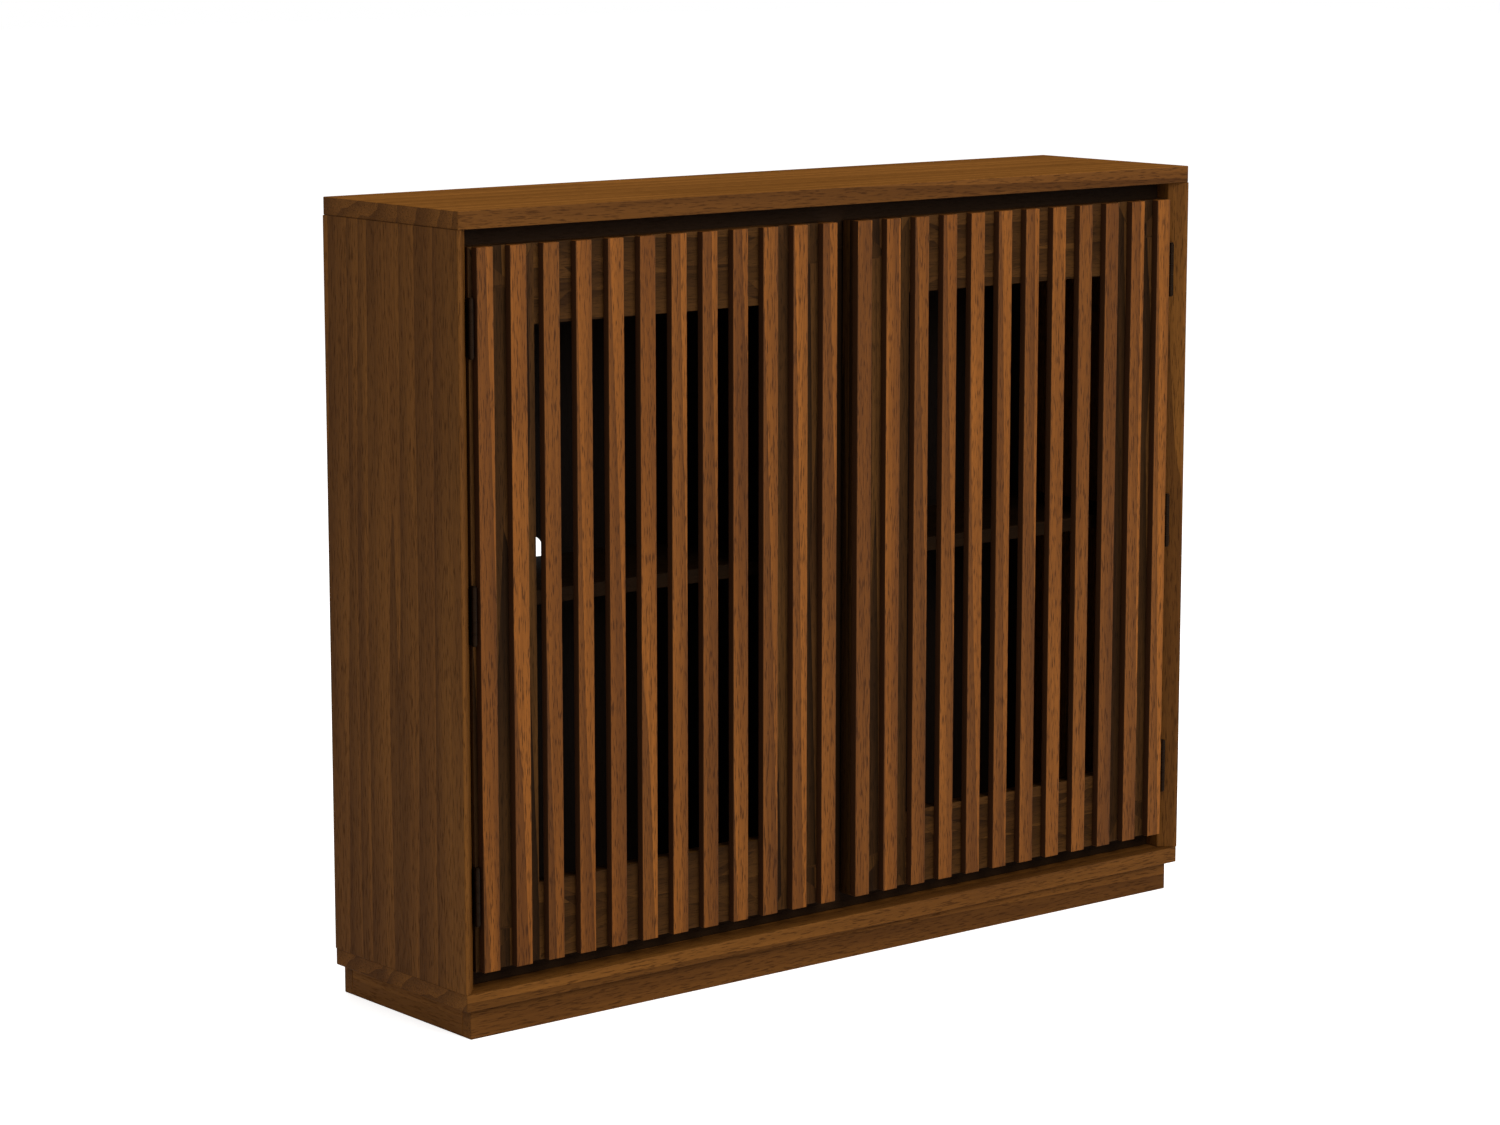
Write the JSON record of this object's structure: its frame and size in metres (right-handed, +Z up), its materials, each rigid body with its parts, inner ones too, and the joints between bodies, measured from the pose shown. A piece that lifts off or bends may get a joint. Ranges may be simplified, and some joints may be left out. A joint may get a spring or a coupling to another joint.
{
  "type": "shoe cabinet",
  "caption": "Slim free-standing shoe cabinet: thick top and base boards, bevelled side panels, set-back plinth, slatted hinged doors before a dark face frame, and shelved compartments.",
  "frame": {"origin": "middle of the footprint, at floor level under the plinth", "axes": "+X along the width to the right as seen from the front, +Y from the doors to the back panel, +Z up"},
  "size_m": [1.2, 0.285, 1],
  "materials": {
    "walnut_board": "walnut-brown stained open-grain veneer, satin lacquer",
    "walnut_slat": "walnut-brown stained slat, satin lacquer",
    "walnut_frame": "walnut-brown stained frame, strong open grain, satin lacquer",
    "dark_stained_wood": "very dark brown stain, smooth satin",
    "beech_dowel": "plain fluted beech, unfinished",
    "brass_hinge": "antique brushed brass",
    "zinc_steel": "zinc-plated steel",
    "rubber_bumper": "soft dark rubber"
  },
  "bodies": {
    "cabinet": {"top_board": "walnut_board", "base_board": "walnut_board", "left_side_panel": "walnut_board", "right_side_panel": "walnut_board", "upper_rail": "dark_stained_wood", "lower_rail": "dark_stained_wood", "mullion": "dark_stained_wood", "centre_divider": "dark_stained_wood", "back_panel": "dark_stained_wood", "left_shelf": "dark_stained_wood", "right_shelf": "dark_stained_wood", "shelf_pins": "zinc_steel", "plinth_front": "walnut_board", "plinth_back": "walnut_board", "left_plinth_end": "walnut_board", "right_plinth_end": "walnut_board", "plinth_corner_blocks": "walnut_board", "plinth_screws": "zinc_steel", "panel_dowels": "beech_dowel", "back_panel_screws": "zinc_steel", "catch_magnets": "zinc_steel", "left_cabinet_hinge_leaves": "brass_hinge", "right_cabinet_hinge_leaves": "brass_hinge", "left_hinge_pins": "brass_hinge", "right_hinge_pins": "brass_hinge", "cabinet_hinge_screws": "brass_hinge"},
    "left_door": {"left_door_outer_stile": "walnut_frame", "left_door_inner_stile": "walnut_frame", "left_door_top_rail": "walnut_frame", "left_door_bottom_rail": "walnut_frame", "left_door_slats": "walnut_slat", "left_door_slat_screws": "zinc_steel", "left_door_hinge_leaves": "brass_hinge", "left_door_hinge_screws": "brass_hinge", "left_door_bumpers": "rubber_bumper", "left_door_strike_plate": "zinc_steel"},
    "right_door": {"right_door_outer_stile": "walnut_frame", "right_door_inner_stile": "walnut_frame", "right_door_top_rail": "walnut_frame", "right_door_bottom_rail": "walnut_frame", "right_door_slats": "walnut_slat", "right_door_slat_screws": "zinc_steel", "right_door_hinge_leaves": "brass_hinge", "right_door_hinge_screws": "brass_hinge", "right_door_bumpers": "rubber_bumper", "right_door_strike_plate": "zinc_steel"}
  },
  "joints": [
    {"name": "left_door_hinge", "type": "hinge", "parent": "cabinet", "child": "left_door", "pos_m": [-0.57675, -0.1345, 0.5185], "axis": [0, 0, -1], "range_deg": [0, 110]},
    {"name": "right_door_hinge", "type": "hinge", "parent": "cabinet", "child": "right_door", "pos_m": [0.57675, -0.1345, 0.5185], "axis": [0, 0, 1], "range_deg": [0, 110]}
  ]
}
